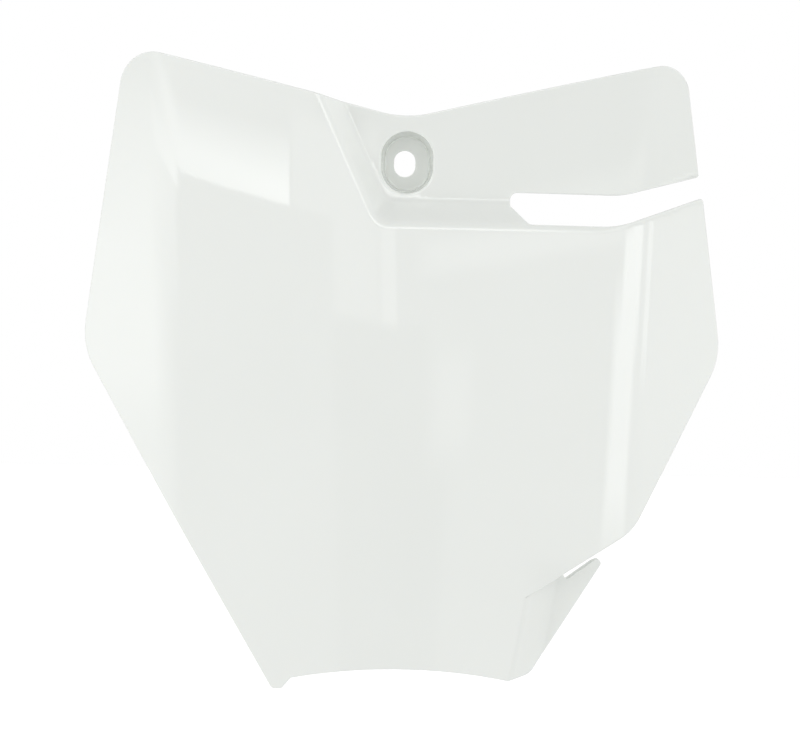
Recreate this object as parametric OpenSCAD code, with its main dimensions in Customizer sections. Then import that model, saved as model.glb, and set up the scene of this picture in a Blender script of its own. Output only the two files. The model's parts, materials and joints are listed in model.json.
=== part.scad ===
// Front racing number board, one injection moulding of even wall thickness.
// The front skin is a surface worked out by formula: a face that is gently round across and
// crowned from top to bottom, two side bends with swept wings, and a recess at the upper right.
// A second skin lies one wall behind it. The closed sheet is trimmed by the board's outline.
// Frame: the origin is the middle of the bolt slot on the seat plane, +X to the right seen
// from the front, +Y to the rear and +Z up.

/* [Outline] */
// Width across the two side points
board_w = 280.4; // [274:0.1:288]
// Drop of the side points below the bolt slot
side_drop = 81; // [74:1:88]
// Rounding of the side points
side_r = 31; // [20:1:40]
// Width across the two top corners
top_w = 244.8; // [238:0.1:252]
// Rise of the left top corner above the bolt slot
top_rise = 50; // [44:1:56]
// Rise of the right top corner, on the recessed wing
right_rise = 48.3; // [44:0.1:54]
// Rounding of the left top corner
top_r = 14; // [8:1:20]
// Rounding of the right top corner
right_r = 11.5; // [8:0.5:18]
// Rise of the middle of the top edge above the bolt slot
dip_rise = 18.9; // [18:0.1:22]
// Rounding in the middle of the top edge
dip_r = 43; // [20:1:60]
// Drop of the middle of the bottom edge below the bolt slot
bottom_drop = 217.2; // [212:0.1:222]
// Distance of the bottom edge's middle to the right
bottom_shift = 2.5; // [0:0.5:5]
// Radius of the hollow bottom edge
bottom_r = 234; // [180:1:400]
// Distance of the right bottom corner from the middle
corner_out = 48.5; // [44:0.5:52]
// Distance of the lower right point from the middle
hip_out = 101.7; // [96:0.1:106]
// Drop of the lower right point below the bolt slot
hip_drop = 156.7; // [150:0.1:162]
// Rounding of the lower right point
hip_r = 24; // [10:1:30]

/* [Foot] */
// Distance of the foot's inner corner from the middle
foot_in = 48.5; // [46:0.5:50]
// Width of the foot's flat end
foot_w = 4.4; // [3:0.1:6]
// Length of the foot below the bottom edge
foot_len = 3.8; // [2:0.1:6]
// Rounding of the foot's corners
foot_r = 1.5; // [0.5:0.1:2]

/* [Sheet] */
// Wall thickness
wall = 2.3; // [1.8:0.1:3]
// Radius of the front face, seen from above
face_r = 310; // [260:5:400]
// Half width of the front face, up to the side bends
bend_out = 93; // [88:1:97]
// Radius of the side bends
bend_r = 42; // [30:1:50]
// Angle of the wings, swept back from the front
wing_angle = 40; // [34:1:46]
// Lean of the side bends, which come together towards the bottom
bend_lean = 2.3; // [0:0.1:4]
// Radius of the crown from top to bottom
crown_r = 2000; // [1500:50:4000]

/* [Recess] */
// Depth of the recess behind the front face
step = 12; // [9:0.5:14]
// Drop of the recess's lower fold below the bolt slot
fold_drop = 26; // [25.5:0.1:28]
// Width of the slope along the lower fold
low_slope = 11.1; // [10:0.1:12]
// Distance of the recess's corner to the left of the middle
fold_left = 12.5; // [11:0.1:16]
// Lean of the left fold from upright
fold_lean = 24.6; // [18:0.1:30]
// Width of the slope along the left fold
left_slope = 8.7; // [8:0.1:10]
// Length over which a fold is rounded
fold_soft = 3.2; // [2.8:0.1:4]

/* [Hose slit] */
// Distance of the slit's closed end to the right of the middle
slit_in = 45.7; // [40:0.1:50]
// Height of the slit, up from the recess's lower fold
slit_h = 14; // [12:0.1:15]
// Chamfer at the slit's closed end
slit_chamfer = 8.2; // [4:0.1:9]
// Rounding of the slit's closed end
slit_r = 3; // [1:0.1:4]
// Distance from the middle at which the slit's lower edge turns upwards
slit_turn = 92.5; // [88:0.1:98]
// Distance from the middle at which the slit's upper edge turns upwards
upper_turn = 94.5; // [90:0.1:98]
// Rounding where the slit turns upwards
slit_turn_r = 40; // [10:1:50]
// Distance of the mouth's upper corner from the middle
mouth_out = 129.4; // [126:0.1:132]
// Distance of the mouth's lower corner from the middle
low_mouth_out = 131.4; // [128:0.1:134]
// Rounding of the mouth's corners
mouth_r = 1.5; // [0.5:0.1:3]
// Drop of the mouth's upper corner below the bolt slot
mouth_top = 1.9; // [0:0.1:3]
// Drop of the mouth's lower corner below the bolt slot
mouth_low = 11; // [10:0.1:14]

/* [Bolt cup] */
// Width of the cup's mouth
cup_w = 22.3; // [20:0.1:24]
// Height of the cup's mouth
cup_h = 26.6; // [25:0.1:28]
// Depth of the cup, from the recess down to its floor
cup_depth = 12; // [9:0.5:14]
// Draft of the cup's wall
cup_draft = 8; // [2:0.5:10]
// Bevel round the cup's mouth
cup_bevel = 1; // [0.4:0.1:1.2]
// Depth at which the cup's wall starts behind the recess's floor
cup_start = 0.85; // [0.75:0.05:1.2]
// Thickness of the cup's floor
seat_t = 3; // [2:0.1:4]
// Distance of the cup's middle to the right of the slot
cup_shift = 1; // [0:0.1:1.5]
// Width of the bolt slot
slot_w = 9.2; // [6.4:0.1:10]
// Length of the bolt slot, end to end
slot_len = 11.4; // [10.5:0.1:14]

/* [Hose guide tab] */
// Distance of the tab's inner corner from the middle
tab_in = 55; // [53:0.5:58]
// Drop of the tab's inner corner below the bolt slot
tab_drop = 186; // [182:0.5:189]
// Depth of the tab behind the edge of the front face
tab_step = 10.5; // [8:0.5:12]
// Width of the slope that leads back to the tab
tab_slope = 10.2; // [9:0.1:12]
// Distance of the tab's tip from the middle, before it is rounded
tip_out = 93.2; // [90:0.1:96]
// Drop of the tab's tip below the bolt slot, before it is rounded
tip_drop = 164; // [162:0.1:166]
// Rounding of the tab's tip
tip_r = 1.9; // [1:0.1:2.4]
// Distance of the tab's heel from the middle
heel_out = 58.2; // [56:0.1:62]
// Drop of the tab's heel below the bolt slot
heel_drop = 218.8; // [216:0.1:221]
// Rounding of the tab's heel
heel_r = 6; // [2:0.5:7]
// Length of the wall that closes the tab's side, along the edge
closed_len = 19.5; // [14:0.5:22]
// Gap between the face's edge and the tab's free edge at its closed end, seen from the front
tab_gap = 3.1; // [2:0.1:4]
// Depth of the lip behind the tab's free edge
lip_depth = 6; // [4:0.5:10]
// Thickness of the lip
lip_t = 1.8; // [1.2:0.1:2.4]
// Distance by which the lip leans towards the face
lip_lean = 0.9; // [0:0.1:2]

/* [Hidden] */

// Stations of the grid between its folds and bends
face_cols = 8;
bend_cols = 6;
wing_cols = 3;
low_rows = 13;
top_rows = 8;
tab_cols = 5;
tab_rows = 5;
edge_steps = 12;
wall_steps = 5;
lip_steps = 6;
// Spare sheet outside an outline, which the trim takes off
spare = 6;
// Front and rear limits of a trim
far = 200;
// Largest turn between two points of a rounded corner
turn = 9;
// Step used to find the slope of a skin
nudge = 0.05;
// How far a piece reaches into the wall that carries it, across and along the wall
root = wall / 2;
lap = 2;
// Depth at which the tab's skin starts under the front skin
tuck = 0.3;
$fn = 96;

// Angle of the front face where the side bends start, and where they end
bend_from = asin(bend_out / face_r);
bend_end = bend_out + bend_r * (sin(wing_angle) - sin(bend_from));
face_sag = face_r * (1 - cos(bend_from));
bend_sag = bend_r * (cos(bend_from) - cos(wing_angle));
bend_tan = tan(bend_lean);

// Depth of the recess's floor at the slot, and of the cup's floor, both in front of the seat
floor_y = -seat_t - cup_depth;
cup_r = cup_w / 2;
cup_run = cup_h - cup_w;
slot_run = slot_len - slot_w;

// The left fold's slope along X, and how the fold moves with height
left_slope_x = left_slope / cos(fold_lean);
fold_right = left_slope_x - fold_left;
fold_tan = tan(fold_lean);

// The bottom edge's drop at a place, the foot's end and the right bottom corner
function bottom_edge(x) = bottom_drop + bottom_r - sqrt(bottom_r * bottom_r - pow(x - bottom_shift, 2));
foot_drop = bottom_edge(-foot_in) + foot_len;
corner_drop = bottom_edge(corner_out);

// The tab's inner corner, the face's edge to its right and the fold below it
tab_corner = [tab_in, -tab_drop];
edge_dir = unit([hip_out, -hip_drop] - tab_corner);
fold_dir = unit([corner_out, -corner_drop] - tab_corner);
edge_out = [edge_dir.y, -edge_dir.x];
fold_out = [-fold_dir.y, fold_dir.x];
fold_spread = fold_out * edge_dir;

// The tab's free edge, from the gap's closed end to the tip, and its straight length
tab_tip = [tip_out, -tip_drop];
gap_end = tab_corner + edge_dir * closed_len + edge_out * tab_gap;
lip_dir = unit(tab_tip - gap_end);
lip_out = [lip_dir.y, -lip_dir.x];
tip_half = acos(lip_dir * unit(tab_tip - [heel_out, -heel_drop])) / 2;
lip_len = norm(tab_tip - gap_end) - tip_r / tan(tip_half);

function unit(v) = v / norm(v);
function clamp(t) = min(max(t, 0), 1);
function span(a, b, n) = [for (i = [0 : n - 1]) a + (b - a) * i / n];

// The larger of t and 0, rounded over the length k, and the smaller of a and b, rounded likewise
function soft_above(t, k) = t <= -k / 2 ? 0 : t >= k / 2 ? t : pow(t + k / 2, 2) / (2 * k);
function soft_min(a, b, k) = min(a, b) - pow(max(k - abs(a - b), 0), 2) / (4 * k);
// A slope from 0 to 1 between t = 0 and t = 1, with both of its folds rounded
function slope(t, k) = soft_above(t, k) - soft_above(t - 1, k);

// Depth of the front face: across the board and from top to bottom
function across(u) =
    u < bend_out ? face_r - sqrt(face_r * face_r - u * u)
    : u < bend_end ? face_sag + bend_r * cos(bend_from)
        - sqrt(bend_r * bend_r - pow(bend_r * sin(bend_from) + u - bend_out, 2))
    : face_sag + bend_sag + (u - bend_end) * tan(wing_angle);
function crown(z) = pow(z + side_drop, 2) / (2 * crown_r);
function face_y(x, z) = floor_y - step + crown(z) - crown(0)
    + across(abs(x) - bend_tan * (z + side_drop));

// The recess goes back from two folds that meet in a rounded corner
corner_soft = 0.6;
function fold_x(z) = -fold_left - fold_tan * (z + fold_drop);
function recess(x, z) = step * slope(
    soft_min((z + fold_drop) / low_slope, (x - fold_x(z)) * cos(fold_lean) / left_slope, corner_soft),
    fold_soft / low_slope);
board_skin = function(x, z) face_y(x, z) + recess(x, z);

// The tab starts just under the front face and goes back from the fold below its corner
function from_fold(x, z) = ([x, z] - tab_corner) * fold_out;
tab_skin = function(x, z) face_y(x, z) + tuck
    + tab_step * slope(from_fold(x, z) / tab_slope, fold_soft / tab_slope);

// A point of a skin, and the point one wall behind it
function front_point(f, p) = [p.x, f(p.x, p.y), p.y];
function rise(f, p, d) = (f(p.x + d.x, p.y + d.y) - f(p.x - d.x, p.y - d.y)) / (2 * nudge);
function back_point(f, p) = front_point(f, p)
    + wall * unit([-rise(f, p, [nudge, 0]), 1, -rise(f, p, [0, nudge])]);

// Stations at the two rounded folds of a slope
function fold_marks(at, w) = [for (m = [at, at + w], t = [-0.5, -0.17, 0.17, 0.5]) m + t * fold_soft];
cols = concat(
    span(-board_w / 2 - spare, -bend_end, wing_cols),
    span(-bend_end, -bend_out, bend_cols),
    span(-bend_out, -fold_left - fold_soft, face_cols),
    fold_marks(-fold_left, left_slope_x),
    span(fold_right + fold_soft, bend_out, face_cols),
    span(bend_out, bend_end, bend_cols),
    span(bend_end, board_w / 2 + spare, wing_cols),
    [board_w / 2 + spare]);
rows = concat(
    span(-foot_drop - spare, -fold_drop - fold_soft, low_rows),
    fold_marks(-fold_drop, low_slope),
    span(low_slope - fold_drop + fold_soft, top_rise + spare, top_rows),
    [top_rise + spare]);

// A column leans with the side bends and, above the lower fold, with the left fold
function lean(x, z) = sign(x) * bend_tan * (z + side_drop) * clamp(2 * abs(x) / bend_out - 1);
function shear(x) = x < -fold_left ? clamp((x + bend_out) / (bend_out - fold_left - fold_soft))
    : clamp((bend_out - x) / (bend_out - fold_right - fold_soft));
function col_x(x, z) = x + lean(x, z) - fold_tan * max(z + fold_drop, 0) * shear(x);

// Stations of the tab's sheet, along the face's edge and away from it
tab_marks = concat(span(-lap - spare, -fold_soft, 1), fold_marks(0, tab_slope),
    span(tab_slope + fold_soft, tip_out - tab_in + spare, tab_cols), [tip_out - tab_in + spare]);
tab_reach = (tab_corner - [corner_out, -corner_drop]) * -edge_out + 2 * spare;
function tab_point(a, b) = tab_corner + edge_dir * a / fold_spread + fold_dir * b / fold_spread;
function edge_point(a, b) = tab_corner + edge_dir * a + edge_out * b;

// Triangles of a closed sheet: nu by nv points on the front skin, then as many on the back
function quad(a, b, c, d) = [[a, b, c], [a, c, d]];
function sheet_faces(nu, nv) = let (n = nu * nv, last = n - nu) concat(
    [for (j = [0 : nv - 2], i = [0 : nu - 2]) let (a = j * nu + i)
        each quad(a, a + nu, a + nu + 1, a + 1)],
    [for (j = [0 : nv - 2], i = [0 : nu - 2]) let (a = n + j * nu + i)
        each quad(a + 1, a + nu + 1, a + nu, a)],
    [for (i = [0 : nu - 2]) each quad(i, i + 1, n + i + 1, n + i)],
    [for (i = [0 : nu - 2]) each quad(last + i, n + last + i, n + last + i + 1, last + i + 1)],
    [for (j = [0 : nv - 2]) each quad(j * nu, n + j * nu, n + j * nu + nu, j * nu + nu)],
    [for (j = [0 : nv - 2]) let (a = j * nu + nu - 1) each quad(a, a + nu, n + a + nu, n + a)]);

// Triangles of a bar: its first end, its last end and the sides between its sections
function bar_faces(n, rows) = concat(
    [[for (j = [n - 1 : -1 : 0]) j]],
    [[for (j = [0 : n - 1]) (rows - 1) * n + j]],
    [for (i = [0 : rows - 2], j = [0 : n - 1]) let (a = i * n, m = (j + 1) % n)
        each quad(a + j, a + m, a + n + m, a + n + j)]);

// Points of an outline whose corners are [x, z, radius]
function corner(p, q, s) = let (
    at = [q.x, q.y],
    u = unit([p.x, p.y] - at),
    v = unit([s.x, s.y] - at),
    half = acos(u * v) / 2,
    sweep = 180 - 2 * half,
    n = ceil(sweep / turn),
    middle = at + unit(u + v) * q.z / sin(half),
    from = at + u * q.z / tan(half) - middle,
    to = at + v * q.z / tan(half) - middle)
    q.z == 0 ? [at]
    : [for (i = [0 : n]) let (t = sweep * i / n)
        middle + (from * sin(sweep - t) + to * sin(t)) / sin(sweep)];
function rounded(path) = let (n = len(path))
    [for (i = [0 : n - 1]) each corner(path[(i + n - 1) % n], path[i], path[(i + 1) % n])];

foot_top = foot_in - foot_len;
outline = concat(
    [[-foot_in - foot_w, -foot_drop, foot_r], [-foot_in, -foot_drop, foot_r],
     [-foot_top, -bottom_edge(-foot_top), foot_r]],
    [for (x = span(-foot_top + 2 * foot_r, corner_out - lap, edge_steps)) [x, -bottom_edge(x), 0]],
    [[corner_out, -corner_drop, 1],
     [tab_in, -tab_drop, 0],
     [hip_out, -hip_drop, hip_r],
     [board_w / 2, -side_drop, side_r],
     [low_mouth_out, -mouth_low, mouth_r],
     [slit_turn, -fold_drop, slit_turn_r],
     [slit_in + slit_chamfer, -fold_drop, slit_r],
     [slit_in, slit_chamfer - fold_drop, slit_r / 2],
     [slit_in, slit_h - fold_drop, slit_r],
     [upper_turn, slit_h - fold_drop, slit_turn_r],
     [mouth_out, -mouth_top, mouth_r],
     [top_w / 2, right_rise, right_r],
     [0, dip_rise, dip_r],
     [-top_w / 2, top_rise, top_r],
     [-board_w / 2, -side_drop, side_r]]);
function sharp(p) = [p.x, p.y, 0];
tab_outline = [
    sharp(edge_point(-lap, -wall - lap / 2)),
    sharp(edge_point(closed_len, -wall - lap / 2)),
    sharp(gap_end),
    [tip_out, -tip_drop, tip_r],
    [heel_out, -heel_drop, heel_r],
    [corner_out + lap / 4, lap / 4 - corner_drop, 0],
    [corner_out - lap, lap / 2 - corner_drop, 0]];

// A straight trim from front to rear with the given outline in X and Z
module trim(path) translate([0, far, 0]) rotate([90, 0, 0]) linear_extrude(2 * far) polygon(path);

// A sheet one wall thick behind the skin f, over a grid of nu places in each row
module sheet(f, grid, nu) polyhedron(
    concat([for (p = grid) front_point(f, p)], [for (p = grid) back_point(f, p)]),
    sheet_faces(nu, len(grid) / nu));

module face_sheet() intersection() {
    sheet(board_skin, [for (z = rows, x = cols) [col_x(x, z), z]], len(cols));
    trim(rounded(outline));
}

module tab_sheet() intersection() {
    sheet(tab_skin, [for (b = concat(span(tab_reach, -spare, tab_rows), [-spare]), a = tab_marks)
        tab_point(a, b)], len(tab_marks));
    trim(rounded(tab_outline));
}

// A bar through sections that each have n points
module bar(sections, n) polyhedron([for (section = sections) each section], bar_faces(n, len(sections)));

// The wall that joins the face's edge to the tab, and the lip behind the tab's free edge
module side_wall() bar([for (i = [0 : wall_steps]) let (
    a = lap / 2 + (closed_len - lap / 2) * i / wall_steps,
    p = edge_point(a, tuck / 2),
    q = edge_point(a, tuck / 2 - wall),
    top = face_y(p.x, p.y) + root,
    end = tab_skin(p.x, p.y) + root)
    [[p.x, top, p.y], [q.x, top, q.y], [q.x, end, q.y], [p.x, end, p.y]]], 4);
module lip() bar([for (i = [0 : lip_steps]) let (
    p = gap_end + lip_dir * lip_len * i / lip_steps,
    top = tab_skin(p.x, p.y) + root,
    end = top - root + lip_depth,
    q = p + lip_out * lip_t,
    back_p = p - lip_out * lip_lean,
    back_q = q - lip_out * lip_lean)
    [[p.x, top, p.y], [back_p.x, end, back_p.y], [back_q.x, end, back_q.y], [q.x, top, q.y]]], 4);

// An upright oblong with draft: its radius is r0 at y0 and r1 at y1, its ends are run apart
module oblong(r0, r1, y0, y1, run) {
    for (z = [-run / 2, run / 2])
        translate([0, y0, z]) rotate([-90, 0, 0]) cylinder(r1 = r0, r2 = r1, h = y1 - y0);
    if (run > 0) translate([0, 0, -run / 2]) linear_extrude(run)
        polygon([[-r0, y0], [-r1, y1], [r1, y1], [r0, y0]]);
}
function cup_at(y) = cup_r - (y - floor_y) * tan(cup_draft);

// The cup that the bolt head sits in: its wall and floor, its inside and the slot through it
module cup_wall() translate([cup_shift, 0, 0])
    oblong(cup_at(floor_y + cup_start) + wall, cup_at(0) + wall, floor_y + cup_start, 0, cup_run);
module cup_inside() translate([cup_shift, 0, 0]) {
    oblong(cup_at(floor_y - lap), cup_at(-seat_t), floor_y - lap, -seat_t, cup_run);
    oblong(cup_r + cup_bevel + lap, cup_r, floor_y - lap, floor_y + cup_bevel, cup_run);
}
module bolt_slot() oblong(slot_w / 2, slot_w / 2, -seat_t - lap, lap, slot_run);

module number_board() color([0.93, 0.94, 0.925]) difference() {
    union() {
        face_sheet();
        tab_sheet();
        side_wall();
        lip();
        cup_wall();
    }
    cup_inside();
    bolt_slot();
}

number_board();
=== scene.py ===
# A front racing number board: one glossy off-white moulding with rounded rims, soft folds, a bolt
# cup, a hose slit and a guide tab. Shapes are worked out in millimetres and made in metres, in
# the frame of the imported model: the origin is the middle of the bolt slot on the seat plane.
import json
import math

import bpy
from mathutils import Matrix, Vector, geometry, kdtree


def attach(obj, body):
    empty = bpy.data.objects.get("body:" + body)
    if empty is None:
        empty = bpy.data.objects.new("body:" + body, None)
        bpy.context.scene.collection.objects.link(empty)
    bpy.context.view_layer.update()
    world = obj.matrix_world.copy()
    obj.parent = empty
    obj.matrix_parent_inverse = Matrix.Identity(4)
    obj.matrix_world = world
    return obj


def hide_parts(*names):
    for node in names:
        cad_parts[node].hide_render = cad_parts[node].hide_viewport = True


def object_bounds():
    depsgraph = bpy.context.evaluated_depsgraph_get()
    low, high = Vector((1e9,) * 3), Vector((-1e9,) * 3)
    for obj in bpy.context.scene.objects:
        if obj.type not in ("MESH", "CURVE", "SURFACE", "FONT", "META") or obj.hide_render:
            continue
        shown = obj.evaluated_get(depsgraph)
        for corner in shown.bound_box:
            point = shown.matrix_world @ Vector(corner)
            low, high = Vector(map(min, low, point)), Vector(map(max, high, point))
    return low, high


MM = 0.001
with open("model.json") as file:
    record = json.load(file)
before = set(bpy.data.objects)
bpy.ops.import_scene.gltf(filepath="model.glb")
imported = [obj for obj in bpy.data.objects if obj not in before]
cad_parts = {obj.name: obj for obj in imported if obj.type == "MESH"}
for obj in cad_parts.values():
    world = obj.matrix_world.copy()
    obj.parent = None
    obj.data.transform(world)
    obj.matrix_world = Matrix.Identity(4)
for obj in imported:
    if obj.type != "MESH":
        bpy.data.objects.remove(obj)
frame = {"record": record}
cad_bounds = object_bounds()
mounts = {m["name"]: m for m in frame["record"]["mounts"]}

# Outline
BOARD_W = 280.4
SIDE_DROP = 81
SIDE_R = 31
TOP_W = 244.8
TOP_RISE = 50
TOP_R = 14
RIGHT_RISE = 48.3
RIGHT_R = 11.5
DIP_RISE = 18.9
DIP_R = 43
BOTTOM_DROP = 217.2
BOTTOM_SHIFT = 2.5
BOTTOM_R = 234
CORNER_OUT = 48.5
HIP = Vector((101.7, -156.7))
HIP_R = 24
FOOT_IN = 48.5
FOOT_W = 4.4
FOOT_LEN = 3.8
FOOT_R = 1.5
CORNER_R = 1

# Sheet
WALL = 2.3
FACE_R = 310
BEND_OUT = 93
BEND_R = 42
WING_ANGLE = math.radians(40)
BEND_LEAN = math.radians(2.3)
CROWN_R = 2000
RIM_R = 0.6

# Recess
STEP = 12
FOLD_DROP = 27.1
LOW_SLOPE = 11.1
FOLD_LEFT = 11.6
FOLD_LEAN = math.radians(24.6)
LEFT_SLOPE = 8
FOLD_SOFT = 3.2
OUTER_FOLD = 4.4
INNER_FOLD = 2.2
CORNER_SOFT = 0.6
CLIMB_FROM = 88.5
CLIMB_SOFT = 15

# Hose slit
SLIT_IN = 45.7
SLIT_LOW = 26
SLIT_H = 14
SLIT_CHAMFER = 8.2
SLIT_R = 3
SLIT_TURN = 92.5
UPPER_TURN = 94.5
SLIT_TURN_R = 40
MOUTH_OUT = 129.4
LOW_MOUTH_OUT = 130.45
MOUTH_R = 1.5
MOUTH_TOP = 1.9
MOUTH_LOW = 11.4

# Bolt cup
CUP_W = 22.3
CUP_H = 26.6
CUP_DEPTH = 12
CUP_DRAFT = math.radians(8)
CUP_RIM = 1.1
CUP_SHIFT = 1
OUTSIDE_DEPTH = 10
FLOOR_TURN = 1.2
BACK_TURN = 1.2
SEAT_TURN = 0.8
SLOT_TURN = 0.35
SEAT_T = 3
SLOT_R = mounts["bolt_slot"]["dims"]["hole_r_mm"]
SLOT_LEN = mounts["bolt_slot"]["dims"]["slot_length_mm"]
HOLE_R = 14.3

# Hose guide tab
TAB_CORNER = Vector((55, -186))
TAB_STEP = 10.5
TAB_SLOPE = 10.2
TAB_TIP = Vector((93.2, -164))
TIP_R = 1.9
HEEL = Vector((58.2, -218.8))
HEEL_R = 6
CLOSED_LEN = 19.5
TAB_GAP = 3.1
TAB_LEN = 48
GAP_R = 0.9
NOTCH_W = 0.02
NOTCH_R = 0.12
SIDE_WALL_FROM = 0.6
SIDE_WALL_END = [(-0.03, 0), (0.6 - WALL, 0), (0.2 - WALL, -0.1), (-WALL, -0.5)]
LIP_DEPTH = 6
LIP_T = 1.8
LIP_LEAN = 0.9
LIP_FROM = -1.2
LIP_PAST = 1.5
LIP_FADE = 3
LIP_THINNING = 0.5
LIP_SHAPE = [(0, 0), (0, 0.85), (0.12, 0.96), (0.35, 1), (0.65, 1), (0.88, 0.96), (1, 0.85), (1, 0.1)]

# Spacing of the mesh's points on the skin, in its folds, along its rim and round its corners
CELL = 2.2
FOLD_CELL = 0.45
TAB_CELL = CELL / 1.5
RIM_CELL = 1.3
RIM_GAP = 0.45 * RIM_CELL
CORNER_STEP = 0.26
BOTTOM_STEPS = 24
NOTCH_STEPS = 6
RIM_STEPS = 4
WALL_STEPS = 14
LIP_STEPS = 24
RING = 96

BEND_FROM = math.asin(BEND_OUT / FACE_R)
BEND_END = BEND_OUT + BEND_R * (math.sin(WING_ANGLE) - math.sin(BEND_FROM))
FACE_SAG = FACE_R * (1 - math.cos(BEND_FROM))
BEND_SAG = BEND_R * (math.cos(BEND_FROM) - math.cos(WING_ANGLE))
FLOOR_Y = -SEAT_T - CUP_DEPTH
CUP_R = CUP_W / 2
CUP_RUN = CUP_H - CUP_W
SLOT_RUN = SLOT_LEN - 2 * SLOT_R
LEFT_SLOPE_X = LEFT_SLOPE / math.cos(FOLD_LEAN)
FOLD_CLIMB = (SLIT_LOW - MOUTH_LOW) / (LOW_MOUTH_OUT - SLIT_TURN)
FOLD_RIGHT = LEFT_SLOPE_X - FOLD_LEFT


def bottom_edge(x):
    """How far the hollow bottom edge lies below the bolt at x."""
    return BOTTOM_DROP + BOTTOM_R - math.sqrt(BOTTOM_R ** 2 - (x - BOTTOM_SHIFT) ** 2)


FOOT_DROP = bottom_edge(-FOOT_IN) + FOOT_LEN
RIGHT_CORNER = Vector((CORNER_OUT, -bottom_edge(CORNER_OUT)))
EDGE_DIR = (HIP - TAB_CORNER).normalized()
EDGE_OUT = Vector((EDGE_DIR.y, -EDGE_DIR.x))
FOLD_DIR = (RIGHT_CORNER - TAB_CORNER).normalized()
FOLD_OUT = Vector((-FOLD_DIR.y, FOLD_DIR.x))
FOLD_SPREAD = FOLD_OUT.dot(EDGE_DIR)
GAP_END = TAB_CORNER + EDGE_DIR * CLOSED_LEN + EDGE_OUT * TAB_GAP
LIP_DIR = (TAB_TIP - GAP_END).normalized()
LIP_OUT = Vector((LIP_DIR.y, -LIP_DIR.x))
TIP_HALF = LIP_DIR.angle((TAB_TIP - HEEL).normalized()) / 2
LIP_LEN = (TAB_TIP - GAP_END).length - TIP_R / math.tan(TIP_HALF)


def edge_point(a, b):
    """The place a along the face's edge from the tab's corner, and b outside it."""
    return TAB_CORNER + EDGE_DIR * a + EDGE_OUT * b


# The front skin: its depth at a place, by the solid's rules but for how the low fold climbs


def soft_above(t, k):
    """Zero below 0 and t above it, with the kink rounded over a width k."""
    if t <= -k / 2:
        return 0
    return t if t >= k / 2 else (t + k / 2) ** 2 / (2 * k)


def soft_min(a, b, k):
    """The smaller of two values, with the kink rounded over a width k."""
    return min(a, b) - max(k - abs(a - b), 0) ** 2 / (4 * k)


def slope(t, outer, inner):
    """A slope from 0 to 1, with the fold where it starts and the fold where it ends rounded."""
    return soft_above(t, outer) - soft_above(t - 1, inner)


def across(u):
    """Depth across the board: the round face, the side bend and the flat wing."""
    if u < BEND_OUT:
        return FACE_R - math.sqrt(FACE_R ** 2 - u * u)
    if u < BEND_END:
        along = BEND_R * math.sin(BEND_FROM) + u - BEND_OUT
        return FACE_SAG + BEND_R * math.cos(BEND_FROM) - math.sqrt(BEND_R ** 2 - along ** 2)
    return FACE_SAG + BEND_SAG + (u - BEND_END) * math.tan(WING_ANGLE)


def crown(z):
    """Depth by the slight rounding from top to bottom."""
    return (z + SIDE_DROP) ** 2 / (2 * CROWN_R)


def recess(x, z):
    """How far the recess lies behind the face: its low fold climbs with the slit to the mouth."""
    low = (z + FOLD_DROP - FOLD_CLIMB * soft_above(x - CLIMB_FROM, CLIMB_SOFT)) / LOW_SLOPE
    fold_x = -FOLD_LEFT - math.tan(FOLD_LEAN) * (z + FOLD_DROP)
    left = (x - fold_x) * math.cos(FOLD_LEAN) / LEFT_SLOPE
    both = soft_min(low, left, CORNER_SOFT)
    return STEP * slope(both, OUTER_FOLD / LOW_SLOPE, INNER_FOLD / LOW_SLOPE)


def skin(x, z, on_tab=False):
    """The depth of the front skin, as seen from the front in the direction of y."""
    y = FLOOR_Y - STEP + crown(z) - crown(0)
    y += across(abs(x) - math.tan(BEND_LEAN) * (z + SIDE_DROP))
    if z > -FOLD_DROP - OUTER_FOLD:
        y += recess(x, z)
    if on_tab:
        behind = (Vector((x, z)) - TAB_CORNER).dot(FOLD_OUT) - FOLD_SOFT / 2
        y += TAB_STEP * slope(behind / TAB_SLOPE, FOLD_SOFT / TAB_SLOPE, FOLD_SOFT / TAB_SLOPE)
    return y


def gradient(f, x, z):
    """How steeply a depth changes along x and along z."""
    d = 0.05
    return (f(x + d, z) - f(x - d, z)) / (2 * d), (f(x, z + d) - f(x, z - d)) / (2 * d)


def front(x, z, on_tab=False):
    """A point of the front skin and its normal."""
    gx, gz = gradient(lambda u, v: skin(u, v, on_tab), x, z)
    return Vector((x, skin(x, z, on_tab), z)), Vector((gx, -1, gz)).normalized()


def back(x, z, on_tab=False):
    """The point of the back skin behind that place, one wall behind the front, and its normal."""
    point, normal = front(x, z, on_tab)
    return point + Vector((0, -WALL / normal.y, 0)), -normal


# The outline


def spread(a, b, step):
    """Points from a up to but not including b, no more than a step apart."""
    n = max(1, math.ceil((b - a).length / step))
    return [a + (b - a) * i / n for i in range(n)]


def rounded(path):
    """A closed outline from corners (x, z, radius), with points along it."""
    stops = []
    for i, (x, z, r) in enumerate(path):
        at = Vector((x, z))
        before = (Vector(path[i - 1][:2]) - at).normalized()
        after = (Vector(path[(i + 1) % len(path)][:2]) - at).normalized()
        if r == 0:
            stops.append([at])
            continue
        half = before.angle(after) / 2
        sweep = math.pi - 2 * half
        middle = at + (before + after).normalized() * r / math.sin(half)
        start = at + before * r / math.tan(half) - middle
        end = at + after * r / math.tan(half) - middle
        n = max(2, math.ceil(sweep * max(r, 1) / RIM_CELL), math.ceil(sweep / CORNER_STEP))
        arc = []
        for j in range(n + 1):
            turned = sweep * j / n
            spoke = start * math.sin(sweep - turned) + end * math.sin(turned)
            arc.append(middle + spoke / math.sin(sweep))
        stops.append(arc)
    points = []
    for i, arc in enumerate(stops):
        points += arc[:-1]
        points += spread(arc[-1], stops[(i + 1) % len(stops)][0], RIM_CELL)
    return points


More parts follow.
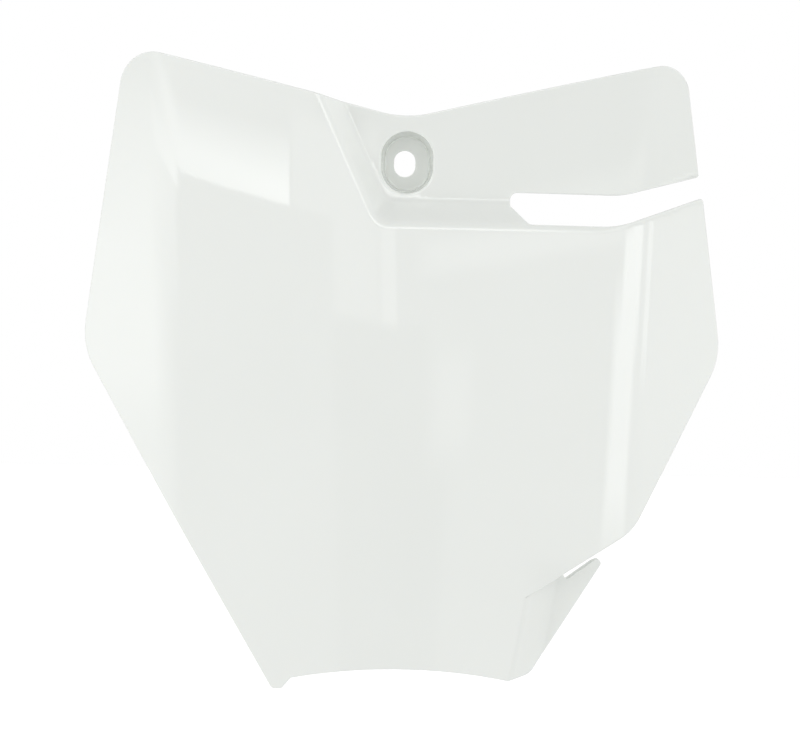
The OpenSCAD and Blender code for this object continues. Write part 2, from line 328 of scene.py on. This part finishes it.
def outline_corners():
    """Corners anticlockwise from the foot, with a notch between the face's edge and the tab."""
    foot_top = FOOT_IN - FOOT_LEN
    corners = [(-FOOT_IN - FOOT_W, -FOOT_DROP, FOOT_R), (-FOOT_IN, -FOOT_DROP, FOOT_R),
               (-foot_top, -bottom_edge(-foot_top), FOOT_R)]
    start = -foot_top + 2 * FOOT_R
    end = CORNER_OUT - 2 * CORNER_R
    for i in range(BOTTOM_STEPS):
        x = start + (end - start) * i / BOTTOM_STEPS
        corners.append((x, -bottom_edge(x), 0))
    corners += [(*RIGHT_CORNER, CORNER_R), (*HEEL, HEEL_R), (*TAB_TIP, TIP_R), (*GAP_END, GAP_R),
                (*edge_point(CLOSED_LEN, NOTCH_W), GAP_R), (*TAB_CORNER, 0)]
    corners += [
        (*HIP, HIP_R), (BOARD_W / 2, -SIDE_DROP, SIDE_R), (LOW_MOUTH_OUT, -MOUTH_LOW, MOUTH_R),
        (SLIT_TURN, -SLIT_LOW, SLIT_TURN_R), (SLIT_IN + SLIT_CHAMFER, -SLIT_LOW, SLIT_R),
        (SLIT_IN, SLIT_CHAMFER - SLIT_LOW, SLIT_R / 2), (SLIT_IN, SLIT_H - SLIT_LOW, SLIT_R),
        (UPPER_TURN, SLIT_H - SLIT_LOW, SLIT_TURN_R), (MOUTH_OUT, -MOUTH_TOP, MOUTH_R),
        (TOP_W / 2, RIGHT_RISE, RIGHT_R), (0, DIP_RISE, DIP_R), (-TOP_W / 2, TOP_RISE, TOP_R),
        (-BOARD_W / 2, -SIDE_DROP, SIDE_R)]
    return corners


def rim_places():
    """The outline as (place, outward direction, rounding, whether it is on the tab)."""
    points = rounded(outline_corners())
    notch = min(range(len(points)), key=lambda i: (points[i] - TAB_CORNER).length)
    heel = min(range(len(points)), key=lambda i: (points[i] - RIGHT_CORNER).length)
    places = []
    for i, p in enumerate(points):
        along = points[(i + 1) % len(points)] - points[i - 1]
        out = Vector((along.y, -along.x)).normalized()
        on_tab = heel < i < notch
        if i == notch:
            for j in range(NOTCH_STEPS + 1):
                t = j / NOTCH_STEPS
                turn = Matrix.Rotation(math.pi * t, 2)
                places.append((p, turn @ -EDGE_OUT, NOTCH_R + (RIM_R - NOTCH_R) * t, t < 0.5))
            continue
        in_notch = on_tab and (p - TAB_CORNER).dot(EDGE_OUT) < 0.1
        places.append((p, out, NOTCH_R if in_notch else RIM_R, on_tab))
    return places


# The mesh


def smooth_piece(name, points, faces):
    """A smoothly shaded piece from points in millimetres."""
    mesh = bpy.data.meshes.new(name)
    mesh.from_pydata([p * MM for p in points], [], faces)
    mesh.polygons.foreach_set("use_smooth", [True] * len(mesh.polygons))
    piece = bpy.data.objects.new(name, mesh)
    bpy.context.scene.collection.objects.link(piece)
    return piece


class Shell:
    """Points with their normals, and faces."""

    def __init__(self):
        self.points = []
        self.normals = []
        self.faces = []

    def add(self, point, normal):
        self.points.append(point)
        self.normals.append(normal)
        return len(self.points) - 1

    def strip(self, a, b, closed=True):
        """Faces between two rows of as many points."""
        n = len(a)
        for i in range(n if closed else n - 1):
            j = (i + 1) % n
            self.faces.append((a[i], a[j], b[j], b[i]))

    def make(self, name):
        """The piece, shaded by the normals worked out for its points."""
        piece = smooth_piece(name, self.points, self.faces)
        piece.data.validate()
        piece.data.normals_split_custom_set_from_vertices([n.normalized() for n in self.normals])
        return piece


def bezier(a, b, c, t):
    """A place on the rounded turn from a past b to c."""
    return a * (1 - t) ** 2 + b * 2 * t * (1 - t) + c * t * t


def stations(marks, cell):
    """Stations from the first mark to the last, with no step wider than a cell."""
    found = []
    for a, b in zip(marks, marks[1:]):
        n = max(1, math.ceil((b - a) / cell(a, b)))
        found += [a + (b - a) * i / n for i in range(n)]
    return found + [marks[-1]]


def fold_cell(a, b):
    """The cell between two marks: close together, they hold a fold between them."""
    return FOLD_CELL if b - a < OUTER_FOLD * 1.01 else CELL


def clamp(t):
    return min(max(t, 0), 1)


def inside_spans(loop, z):
    """Where a level line lies inside a closed outline."""
    cuts = []
    for p, q in zip(loop, loop[1:] + loop[:1]):
        if (p.y > z) != (q.y > z):
            cuts.append(p.x + (q.x - p.x) * (z - p.y) / (q.y - p.y))
    cuts.sort()
    return list(zip(cuts[::2], cuts[1::2]))


def past_fold(p):
    """Whether a place is on the tab: outside the face's edge and past the tab's fold."""
    from_corner = p - TAB_CORNER
    return from_corner.dot(EDGE_OUT) > 0 and from_corner.dot(FOLD_OUT) > 0


def skin_places(loop, hole):
    """Places inside the outline and outside the cup: lines along the folds, closer in them."""
    outer, inner = OUTER_FOLD / 2, INNER_FOLD / 2
    cols = stations(
        [-BOARD_W / 2, -BEND_END, -BEND_OUT, -FOLD_LEFT - outer, -FOLD_LEFT + outer, FOLD_RIGHT - inner,
         FOLD_RIGHT + inner, BEND_OUT, BEND_END, BOARD_W / 2], fold_cell)
    rows = stations(
        [-FOOT_DROP, -FOLD_DROP - outer, -FOLD_DROP + outer, LOW_SLOPE - FOLD_DROP - inner,
         LOW_SLOPE - FOLD_DROP + inner, TOP_RISE], fold_cell)
    near = kdtree.KDTree(len(loop) + len(hole))
    for i, p in enumerate(loop + hole):
        near.insert((p.x, p.y, 0), i)
    near.balance()
    places = []
    # Columns lean with the side bends, fully so at the bends, and with the recess's left fold
    for z in rows:
        spans = inside_spans(loop, z)
        gaps = inside_spans(hole, z)
        for x in cols:
            lean = math.copysign(math.tan(BEND_LEAN), x) * (z + SIDE_DROP)
            lean *= clamp(2 * abs(x) / BEND_OUT - 1)
            if x < -FOLD_LEFT:
                share = clamp((x + BEND_OUT) / (BEND_OUT - FOLD_LEFT - FOLD_SOFT))
            else:
                share = clamp((BEND_OUT - x) / (BEND_OUT - FOLD_RIGHT - FOLD_SOFT))
            at = x + lean - math.tan(FOLD_LEAN) * max(z + FOLD_DROP, 0) * share
            if any(a < at < b for a, b in spans) and not any(a < at < b for a, b in gaps):
                if not past_fold(Vector((at, z))):
                    places.append(Vector((at, z)))
    tab_marks = [0, FOLD_SOFT, TAB_SLOPE, TAB_SLOPE + FOLD_SOFT, TAB_TIP.x - TAB_CORNER.x]
    for a in stations(tab_marks, fold_cell):
        for b in stations([0, TAB_LEN], lambda p, q: TAB_CELL):
            p = TAB_CORNER + (EDGE_DIR * a + FOLD_DIR * b) / FOLD_SPREAD
            if any(u < p.x < v for u, v in inside_spans(loop, p.y)):
                places.append(p)
    return [p for p in places if near.find((p.x, p.y, 0))[2] > RIM_GAP]


def ring_angle(k):
    """The angle of a ring's place k, 0 to the right and growing upwards."""
    return 2 * math.pi * (k + 0.5) / RING


def ring_out(k):
    """The outward direction at a ring's place k."""
    return Vector((math.cos(ring_angle(k)), 0, math.sin(ring_angle(k))))


def stadium(middle, r, run):
    """An upright oblong as a ring of places: half circles of radius r, their middles run apart."""
    ring = []
    for k in range(RING):
        t = ring_angle(k)
        up = r * math.sin(t) + math.copysign(run / 2, math.sin(t))
        ring.append(Vector((middle + r * math.cos(t), up)))
    return ring


def add_rim(shell, places, fronts, backs):
    """The rounded rim between the two skins' edges."""
    rows = []
    shares = [j / RIM_STEPS for j in range(RIM_STEPS + 1)]
    for p, out, r, on_tab in places:
        top = skin(p.x, p.y, on_tab)
        bottom = back(p.x, p.y, on_tab)[0].y
        inner = p - out * r
        a = Vector((-r, skin(inner.x, inner.y, on_tab)))
        b = Vector((-r, back(inner.x, inner.y, on_tab)[0].y))
        curve = [bezier(a, Vector((0, top)), Vector((0, top + r)), t) for t in shares]
        curve += [bezier(Vector((0, bottom - r)), Vector((0, bottom)), b, t) for t in shares]
        rows.append([(Vector((p.x + out.x * c.x, c.y, p.y + out.y * c.x)), c) for c in curve])
    count = len(rows[0])
    n = len(rows)
    previous = fronts
    for j in range(1, count - 1):
        ring = []
        for i, (p, out, r, on_tab) in enumerate(places):
            tangent = rows[i][j + 1][1] - rows[i][j - 1][1]
            normal = Vector((out.x * tangent.y, -tangent.x, out.y * tangent.y))
            path = rows[(i + 1) % n][j][0] - rows[i - 1][j][0]
            # Neighbours that nearly meet don't show which way the rim runs
            if path.length > 0.3:
                path.normalize()
                normal -= path * normal.dot(path)
            ring.append(shell.add(rows[i][j][0], normal))
        shell.strip(ring, previous)
        previous = ring
    shell.strip(backs, previous)


def add_cup(shell, fronts, backs):
    """The bolt cup: its rounded mouth, wall, floor, slot, seat and outside."""
    taper = math.tan(CUP_DRAFT)
    mouth = CUP_R + CUP_RIM
    floor_r = CUP_R - (CUP_DEPTH - FLOOR_TURN) * taper
    outer = CUP_R - CUP_DEPTH * taper + WALL - SEAT_T * taper
    wide = outer + OUTSIDE_DEPTH * taper
    # Each rounded turn: middle, run, steps, what its depths are counted from, and the (radius,
    # depth) where it starts, at its corner and where it ends
    turns = [
        (CUP_SHIFT, CUP_RUN, 5, "front", (mouth, 0), (CUP_R, 0), (CUP_R, CUP_RIM)),
        (CUP_SHIFT, CUP_RUN, 5, "seat",
         (floor_r, -SEAT_T - FLOOR_TURN), (floor_r, -SEAT_T), (floor_r - FLOOR_TURN, -SEAT_T)),
        (0, SLOT_RUN, 3, "seat",
         (SLOT_R + SLOT_TURN, -SEAT_T), (SLOT_R, -SEAT_T), (SLOT_R, SLOT_TURN - SEAT_T)),
        (0, SLOT_RUN, 3, "seat", (SLOT_R, -SLOT_TURN), (SLOT_R, 0), (SLOT_R + SLOT_TURN, 0)),
        (CUP_SHIFT, CUP_RUN, 4, "seat", (outer - SEAT_TURN, 0), (outer, 0), (outer, -SEAT_TURN)),
        (CUP_SHIFT, CUP_RUN, 4, "back", (wide, BACK_TURN), (wide, 0), (wide + BACK_TURN, 0))]
    profile = []
    for middle, run, steps, counted, *stops in turns:
        a, b, c = (Vector(stop) for stop in stops)
        for j in range(steps + 1):
            t = j / steps
            along = (b - a).normalized() * (1 - t) + (c - b).normalized() * t
            profile.append((middle, run, counted, bezier(a, b, c, t), along))
    previous = fronts
    for middle, run, counted, at, along in profile:
        ring = []
        for k, p in enumerate(stadium(middle, at.x, run)):
            y = at.y
            if counted == "front":
                y += skin(p.x, p.y)
            if counted == "back":
                y += back(p.x, p.y)[0].y
            normal = Vector((0, along.x, 0)) - ring_out(k) * along.y
            if counted == "front" and along.y == 0:
                normal = front(p.x, p.y)[1]
            ring.append(shell.add(Vector((p.x, y, p.y)), normal))
        shell.strip(previous, ring)
        previous = ring
    shell.strip(previous, backs)


def board_shell():
    """The whole board: both skins with the same triangles, the rim between them, and the cup."""
    shell = Shell()
    places = rim_places()
    loop = [p - out * r for p, out, r, on_tab in places]
    hole = stadium(CUP_SHIFT, HOLE_R, CUP_RUN)
    inner = skin_places(loop, hole)
    n, m = len(loop), len(hole)
    edges = [(i, (i + 1) % n) for i in range(n)] + [(n + i, n + (i + 1) % m) for i in range(m)]
    found = geometry.delaunay_2d_cdt(loop + hole + inner, edges, [], 1, 1e-6)
    coords, faces, origins = found[0], found[2], found[3]
    # Triangles inside the hole for the cup are left out
    triangles = []
    for face in faces:
        x = sum(coords[i].x for i in face) / 3 - CUP_SHIFT
        z = abs(sum(coords[i].y for i in face) / 3) - CUP_RUN / 2
        if math.hypot(x, max(z, 0)) > HOLE_R - 0.02:
            triangles.append(tuple(face))
    flags = [on_tab for p, out, r, on_tab in places] + [False] * m
    fronts, backs, at = {}, {}, {}
    for i, p in enumerate(coords):
        source = min(origins[i]) if origins[i] else len(flags)
        on_tab = flags[source] if source < len(flags) else past_fold(p)
        fronts[i] = shell.add(*front(p.x, p.y, on_tab))
        backs[i] = shell.add(*back(p.x, p.y, on_tab))
        for o in origins[i]:
            at[o] = i
    for a, b, c in triangles:
        shell.faces.append((fronts[a], fronts[b], fronts[c]))
        shell.faces.append((backs[c], backs[b], backs[a]))
    add_rim(shell, places, [fronts[at[i]] for i in range(n)], [backs[at[i]] for i in range(n)])
    ring = [at[n + k] for k in range(m)]
    add_cup(shell, [fronts[i] for i in ring], [backs[i] for i in ring])
    return shell


def bar(name, sections):
    """A bar swept through sections, each a list of as many points, closed at both ends."""
    n = len(sections[0])
    points = [p for section in sections for p in section]
    faces = [(s * n + i, s * n + (i + 1) % n, s * n + n + (i + 1) % n, s * n + n + i)
             for s in range(len(sections) - 1) for i in range(n)]
    faces += [tuple(range(n))[::-1], tuple(range((len(sections) - 1) * n, len(sections) * n))]
    return smooth_piece(name, points, faces)


def section_at(p, out, shape):
    """Points of a cross-section (how far outside the place p, depth)."""
    return [Vector((p.x + out.x * b, y, p.y + out.y * b)) for b, y in shape]


def side_wall():
    """The wall that closes the tab's side, behind the face's edge."""
    sections = []
    for i in range(WALL_STEPS + 1):
        p = edge_point(SIDE_WALL_FROM + (CLOSED_LEN - SIDE_WALL_FROM) * i / WALL_STEPS, 0)
        top = skin(p.x, p.y) + WALL / 2
        end = back(p.x, p.y, True)[0].y
        shape = [(b, end + y) for b, y in SIDE_WALL_END]
        shape = [(shape[0][0], top), *shape, (shape[-1][0], top)]
        sections.append(section_at(p, EDGE_OUT, shape))
    return bar("side_wall", sections)


def lip():
    """The lip behind the tab's free edge, which leans towards the face and runs out at the tip."""
    sections = []
    last = LIP_LEN + LIP_PAST
    for i in range(LIP_STEPS + 1):
        a = LIP_FROM + (last - LIP_FROM) * i / LIP_STEPS
        p = GAP_END + LIP_DIR * a
        top = skin(p.x, p.y, True) + RIM_R
        ease = math.sqrt(clamp((last - a) / LIP_FADE))
        depth = WALL + (LIP_DEPTH - WALL) * ease - RIM_R
        inset = LIP_THINNING * (1 - ease)
        shape = []
        for b, y in LIP_SHAPE:
            shape.append((inset + b * LIP_T - LIP_LEAN * y * depth / LIP_DEPTH, top + y * depth))
        sections.append(section_at(p, LIP_OUT, shape))
    return bar("lip", sections)


# Materials: colour, roughness and ripple each follow a noise, with a scale counted per metre

MOTTLE_SCALE = 22
TINT_LOW = (0.843, 0.865, 0.836)
TINT_HIGH = (0.851, 0.873, 0.844)
GLOSS_SCALE = 60
ROUGHNESS_LOW = 0.018
ROUGHNESS_HIGH = 0.025
RIPPLE_SCALE = 160
RIPPLE_HEIGHT = 0.00002
RIPPLE_STRENGTH = 0.1
FLOOR_COLOUR = (0.6, 0.6, 0.6, 1)
FLOOR_GLOW = 0.58


def white_plastic():
    """Glossy off-white moulded plastic: faint mottling, slightly uneven gloss and a fine ripple."""
    material = bpy.data.materials.new("white_plastic")
    material.use_nodes = True
    nodes, links = material.node_tree.nodes, material.node_tree.links
    shader = nodes["Principled BSDF"]
    shader.inputs["IOR"].default_value = 1.49
    shader.inputs["Subsurface Weight"].default_value = 0.08
    shader.inputs["Subsurface Radius"].default_value = (1.0, 0.95, 0.85)
    shader.inputs["Subsurface Scale"].default_value = 0.002
    place = nodes.new("ShaderNodeTexCoord")

    def noise(scale, detail):
        node = nodes.new("ShaderNodeTexNoise")
        node.inputs["Scale"].default_value = scale
        node.inputs["Detail"].default_value = detail
        links.new(place.outputs["Object"], node.inputs["Vector"])
        return node.outputs["Fac"]

    def ramp(value, low, high):
        node = nodes.new("ShaderNodeValToRGB")
        node.color_ramp.elements[0].position = 0.3
        node.color_ramp.elements[1].position = 0.7
        node.color_ramp.elements[0].color = (*low, 1)
        node.color_ramp.elements[1].color = (*high, 1)
        links.new(value, node.inputs["Fac"])
        return node.outputs["Color"]

    colour = ramp(noise(MOTTLE_SCALE, 2), TINT_LOW, TINT_HIGH)
    links.new(colour, shader.inputs["Base Color"])
    roughness = ramp(noise(GLOSS_SCALE, 4), (ROUGHNESS_LOW,) * 3, (ROUGHNESS_HIGH,) * 3)
    links.new(roughness, shader.inputs["Roughness"])
    bump = nodes.new("ShaderNodeBump")
    bump.inputs["Strength"].default_value = RIPPLE_STRENGTH
    bump.inputs["Distance"].default_value = RIPPLE_HEIGHT
    links.new(noise(RIPPLE_SCALE, 1), bump.inputs["Height"])
    links.new(bump.outputs["Normal"], shader.inputs["Normal"])
    return material


def pale_floor():
    """A plain floor that renders white under the studio's light."""
    material = bpy.data.materials.new("pale_floor")
    material.use_nodes = True
    shader = material.node_tree.nodes["Principled BSDF"]
    shader.inputs["Base Color"].default_value = FLOOR_COLOUR
    shader.inputs["Roughness"].default_value = 0.9
    shader.inputs["Emission Color"].default_value = (1, 1, 1, 1)
    shader.inputs["Emission Strength"].default_value = FLOOR_GLOW
    return material


# The board

plastic = white_plastic()
board = board_shell().make("board")
pieces = [board, side_wall(), lip()]
for piece in pieces:
    piece.data.materials.append(plastic)
    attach(piece, "root")
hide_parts("number_board")

# The stage: the camera sees the floor, but the board is lit by the studio alone

FLOOR_SIZE = 12
FLOOR_GAP = 0.06
lowest = Vector(cad_bounds[0])
bpy.ops.mesh.primitive_plane_add(size=FLOOR_SIZE, location=(0, 0, lowest.z - FLOOR_GAP))
floor = bpy.context.object
floor.name = "floor"
floor.data.materials.append(pale_floor())
floor.visible_glossy = False
floor.visible_diffuse = False

# What the gloss reflects: a base, with soft boxes and dark screens laid over it in turn, each as
# (brightness, azimuths, elevations, softness of the four edges, tilt, rounding of the corners).
# Azimuth is 0 towards the camera and positive to the right, in degrees like elevation and softness.
# The tilt is how far the upper and lower edge rise for each degree to the right.
GLOSS_BASE = 0.8
ZONES = [
    (0, (-180, 180), (42, 100), (1, 1, 20, 1), 0, 0.3),
    (0, (-14, 120), (6.0, 14), (2, 8, 0.8, 4), 0, 0.3),
    (3.7, (-70, 30), (11, 32), (20, 20, 1.5, 12), 0, 0.5),
    (0.3, (-120, -60), (4.5, 20), (10, 10, 3, 10), 0, 0.3),
    (2.1, (-92, -63), (-40, 3.8), (4, 30, 10, 5.5), 0, 0.3),
    (1.3, (-92, -60), (-40, -3.6), (4, 16, 10, 2), 0, 0.3),
    (1.7, (-78, -46), (1.2, 5.6), (14, 5, 4, 1), 0, 0.3),
    (4.6, (-47, -19), (4.8, 7.0), (70, 0.5, 0.3, 2.6), 0, 0.1),
    (1.35, (-18.4, -3.5), (1, 9), (0.4, 2, 1.5, 1), 0, 0.3),
    (0.8, (-43, -11.6), (-50, 5.4), (5, 0.5, 1, 0.12), -0.015, 1.2),
    (1.8, (-3.2, -0.6), (0.8, 5.6), (0.6, 0.5, 1, 0.6), 0, 0.5),
    (0.5, (-11.8, 5), (-50, 1.3), (0.8, 1, 1, 0.4), 0, 3),
    (0.45, (-4, 9), (-50, -4.5), (1, 1.5, 1, 2), 0, 0.5),
    (1.25, (6.5, 12.5), (-4, 0), (1.2, 1.2, 1.5, 1.2), 0, 0.5),
    (1.55, (3, 38), (3.3, 4.6), (4, 3, 0.6, 0.8), 0, 0.3),
    (1.0, (58, 100), (-4.8, 2.4), (6, 10, 1.5, 0.5), 0, 0.3),
    (0.1, (62, 130), (3.2, 14), (10, 10, 0.5, 4), 0, 0.3),
    (3.0, (37.5, 60), (-7.5, 1.0), (1.2, 6, 3, 3), 0, 0.5),
    (3.5, (40, 63), (-0.5, 3.6), (4, 3, 3, 1), 0, 0.5),
    (2.4, (71, 78), (-2, 3.2), (2, 2, 2, 1), 0, 0.5),
    (0.2, (26, 125), (-40, -8.7), (4, 6, 1, 0.6), 0, 0.3),
]

# What lights the board: a ring of soft light, with the shares it loses at both sides and at the
# right, and what it loses towards the top and bottom, and towards the front and back
RING_LIGHT = 2.388
RING_SIDES = 0.365
RING_RIGHT = 0.012
RING_FALL = 1.5
RING_FRONT = 1.6


def studio():
    """White for the camera, a ring of soft light for the board, and soft boxes for its gloss."""
    world = bpy.data.worlds.new("studio")
    bpy.context.scene.world = world
    world.use_nodes = True
    nodes, links = world.node_tree.nodes, world.node_tree.links

    def calc(operation, *values, clamped=False):
        node = nodes.new("ShaderNodeMath")
        node.operation = operation
        node.use_clamp = clamped
        for socket, value in zip(node.inputs, values):
            if isinstance(value, (int, float)):
                socket.default_value = value
            else:
                links.new(value, socket)
        return node.outputs["Value"]

    def towards(value, target, share):
        """A share of the way from a value to its target."""
        return calc("MULTIPLY_ADD", calc("SUBTRACT", target, value), share, value)

    direction = nodes.new("ShaderNodeSeparateXYZ")
    links.new(nodes.new("ShaderNodeTexCoord").outputs["Generated"], direction.inputs["Vector"])
    x, y, z = (direction.outputs[k] for k in "XYZ")
    azimuth = calc("DEGREES", calc("ARCTAN2", x, calc("MULTIPLY", y, -1)))
    elevation = calc("DEGREES", calc("ARCSINE", z))
    gloss = GLOSS_BASE
    for value, (left, right), (low, high), soft, tilt, corner in ZONES:
        from_middle = calc("SUBTRACT", azimuth, (left + right) / 2)
        level = calc("SUBTRACT", elevation, calc("MULTIPLY", from_middle, tilt))
        within = [(azimuth, left), (right, azimuth), (level, low), (high, level)]
        depths = [calc("DIVIDE", calc("SUBTRACT", a, b), width) for (a, b), width in zip(within, soft)]
        inside = depths[0]
        for depth in depths[1:]:
            inside = calc("SMOOTH_MIN", inside, depth, corner)
        gloss = towards(gloss, value, calc("ADD", inside, 0.5, clamped=True))
    sides = calc("MULTIPLY_ADD", x, -RING_RIGHT, 1)
    sides = calc("MULTIPLY_ADD", calc("MULTIPLY", x, x), -RING_SIDES, sides)
    ring = calc("MULTIPLY_ADD", sides, RING_LIGHT, calc("MULTIPLY", calc("ABSOLUTE", z), -RING_FALL))
    ahead = calc("MULTIPLY", y, y)
    ring = calc("MULTIPLY_ADD", calc("MULTIPLY", ahead, ahead), -RING_FRONT, ring)
    rays = nodes.new("ShaderNodeLightPath")
    light = towards(ring, gloss, rays.outputs["Is Glossy Ray"])
    seen = towards(light, 1, rays.outputs["Is Camera Ray"])
    links.new(seen, nodes["Background"].inputs["Strength"])
    nodes["Background"].inputs["Color"].default_value = (1, 1, 1, 1)


studio()

# The camera: as far in front as the photograph's, level and straight on, and rolled a little
CAMERA_DISTANCE = 1.6
VIEW_WIDTH = 0.3407
VIEW_MIDDLE = (-0.00029, -0.0918)
ROLL = math.radians(1.1)
camera_data = bpy.data.cameras.new("camera")
camera_data.sensor_fit = "HORIZONTAL"
camera_data.lens = camera_data.sensor_width * CAMERA_DISTANCE / VIEW_WIDTH
camera = bpy.data.objects.new("camera", camera_data)
camera.matrix_world = (
    Matrix.Translation((VIEW_MIDDLE[0], lowest.y - CAMERA_DISTANCE, VIEW_MIDDLE[1]))
    @ Matrix.Rotation(math.pi / 2, 4, "X") @ Matrix.Rotation(ROLL, 4, "Z"))
bpy.context.scene.collection.objects.link(camera)
bpy.context.scene.camera = camera
bpy.context.scene.view_settings.view_transform = "Standard"
